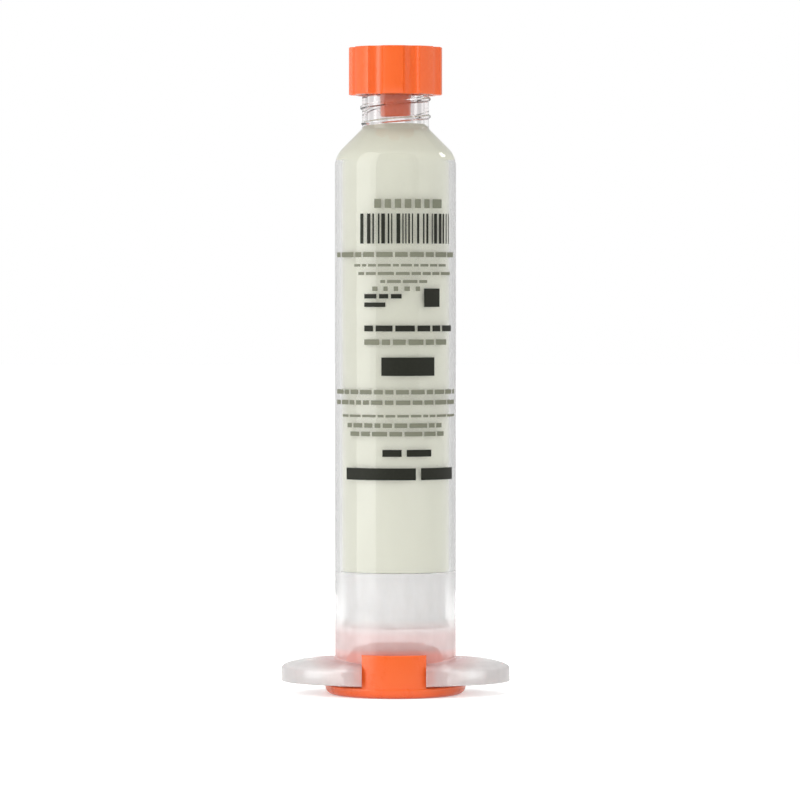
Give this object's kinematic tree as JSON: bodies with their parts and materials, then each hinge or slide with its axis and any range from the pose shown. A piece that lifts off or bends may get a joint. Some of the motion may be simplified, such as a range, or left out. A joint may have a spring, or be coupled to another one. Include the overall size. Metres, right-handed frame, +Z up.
{
  "type": "flux syringe",
  "caption": "Clear pre-filled flux syringe standing on its clip-on end cap, with a finger flange, a follower piston and a grooved screw cap on the tip.",
  "frame": {"origin": "middle of the underside of the end cap's disc, on the barrel's axis, in the plane it stands on", "axes": "+Z up the barrel's axis to the dispensing tip, +X along the long way of the finger flange, -Y towards the pictured side"},
  "size_m": [0.0336, 0.0208, 0.095],
  "materials": {
    "clear_barrel": "clear, faintly milky moulded polypropylene",
    "orange_cap": "satin orange moulded plastic",
    "white_piston": "white moulded polyethylene",
    "flux_paste": "pale yellow-green soft paste"
  },
  "bodies": {
    "barrel_body": {"barrel": "clear_barrel", "end_cap": "orange_cap", "flux_paste": "flux_paste"},
    "piston_body": {"piston": "white_piston"},
    "tip_cap_body": {"tip_cap": "orange_cap"}
  },
  "joints": [
    {"name": "piston_slide", "type": "slide", "parent": "barrel_body", "child": "piston_body", "axis": [0, 0, 1], "range_m": [0, 0.0591], "deforming": ["flux_paste"]},
    {"name": "tip_cap_turn", "type": "hinge", "parent": "barrel_body", "child": "tip_cap_body", "pos_m": [0, 0, 0.088], "axis": [0, 0, 1], "range_deg": [0, 720]}
  ]
}
